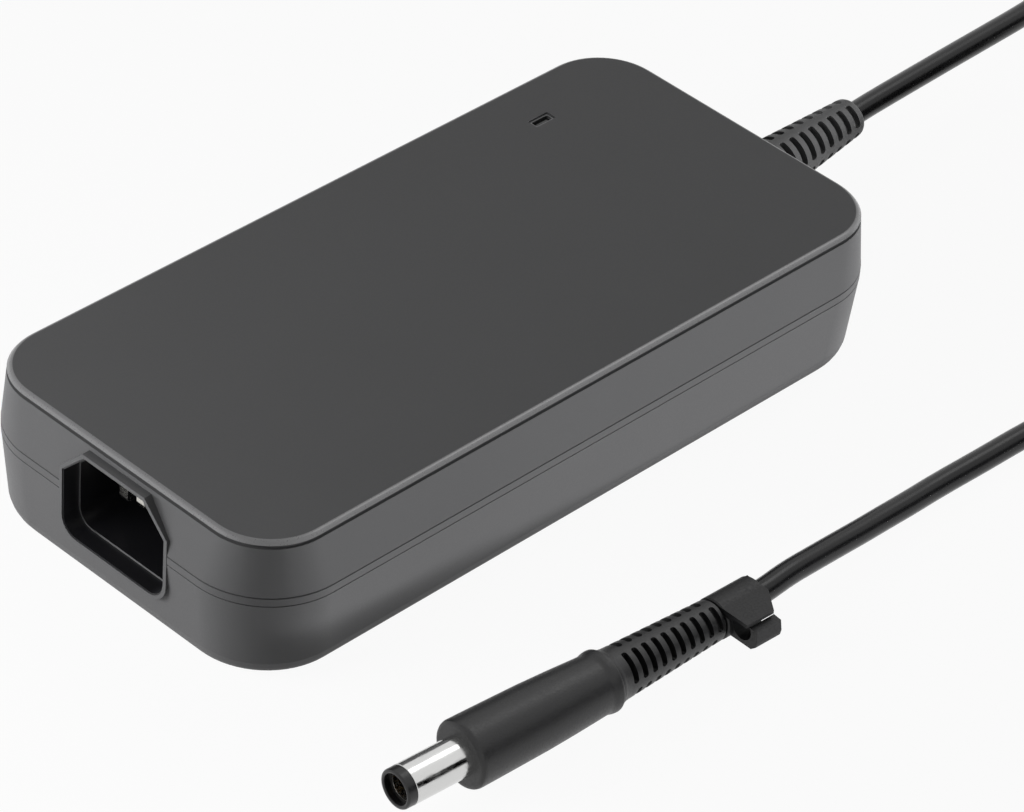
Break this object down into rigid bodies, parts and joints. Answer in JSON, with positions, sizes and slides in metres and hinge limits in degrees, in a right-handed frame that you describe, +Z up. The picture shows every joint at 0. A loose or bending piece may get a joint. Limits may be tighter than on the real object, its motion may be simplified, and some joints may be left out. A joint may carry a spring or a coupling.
{
  "type": "laptop power adapter",
  "caption": "Slim rounded brick with a recessed mains inlet at one end and a slotted strain relief at the other, its cord coiled and ending in a barrel plug with a wrap clip.",
  "frame": {"origin": "bottom centre of the case", "axes": "+X along the case's length, from the mains inlet to the strain relief; +Y across it, towards the light's side; +Z up, out of the top cover"},
  "size_m": [0.2772, 0.127, 0.0298],
  "materials": {
    "case_plastic": "dark grey moulded plastic with a fine even texture",
    "window_plastic": "smoky translucent plastic",
    "led_body": "small white package",
    "black_plastic": "black moulded plastic",
    "pin_metal": "nickel-plated contact",
    "barrel_metal": "bright nickel-plated barrel",
    "brass": "plain brass",
    "brown_wire": "brown insulated wire",
    "blue_wire": "blue insulated wire",
    "earth_sleeve": "green and yellow insulated wire",
    "output_wire": "insulated output wires",
    "aluminium": "plain rolled aluminium",
    "film": "pale insulating film",
    "board": "green solder mask",
    "fuse_ceramic": "pale ceramic tube",
    "blue_coating": "blue dipped coating",
    "green_coating": "green dipped coating",
    "yellow_case": "yellow moulded box",
    "ferrite": "sintered ferrite",
    "copper": "enamelled copper wire",
    "winding_tape": "yellow winding tape",
    "capacitor_sleeve": "dark blue shrink sleeve",
    "thermal_pad": "soft grey pad",
    "relief_rubber": "mid grey soft moulding",
    "cord_rubber": "black soft jacket"
  },
  "bodies": {
    "adapter": {"base_cover": "case_plastic", "top_cover": "case_plastic", "light_guide": "window_plastic", "status_led": "led_body", "inlet_housing": "black_plastic", "line_pin": "pin_metal", "neutral_pin": "pin_metal", "earth_pin": "pin_metal", "line_wire": "brown_wire", "neutral_wire": "blue_wire", "earth_wire": "earth_sleeve", "lower_heat_spreader": "aluminium", "upper_heat_spreader": "aluminium", "lower_film": "film", "upper_film": "film", "circuit_board": "board", "fuse": "fuse_ceramic", "varistor": "blue_coating", "thermistor": "green_coating", "x_capacitor": "yellow_case", "y_capacitors": "blue_coating", "choke_core": "ferrite", "choke_windings": "copper", "bridge_rectifier": "black_plastic", "primary_heatsink": "aluminium", "primary_transistors": "black_plastic", "pfc_core": "ferrite", "pfc_winding": "copper", "bulk_capacitor": "capacitor_sleeve", "control_board": "board", "control_chips": "black_plastic", "transformer_core": "ferrite", "transformer_bobbin": "black_plastic", "transformer_winding": "winding_tape", "thermal_pads": "thermal_pad", "optocouplers": "black_plastic", "secondary_heatsink": "aluminium", "sync_rectifiers": "black_plastic", "output_capacitors": "capacitor_sleeve", "output_choke": "copper", "output_wires": "output_wire", "cord_jacket_end": "cord_rubber", "case_strain_relief": "relief_rubber", "dc_cord_lead": "cord_rubber", "dc_cord_coil": "cord_rubber", "dc_cord_tail": "cord_rubber", "cord_strap": "black_plastic", "plug_body": "cord_rubber", "plug_core": "black_plastic", "plug_barrel": "barrel_metal", "plug_insulator": "black_plastic", "plug_inner_contact": "pin_metal", "plug_center_pin": "brass"},
    "clip": {"cord_clip": "cord_rubber"}
  },
  "joints": [
    {"name": "clip_turn", "type": "hinge", "parent": "adapter", "child": "clip", "pos_m": [-0.00362, -0.07548, 0.00529], "axis": [-0.9994, 0.0157, 0.0314], "continuous": true}
  ]
}
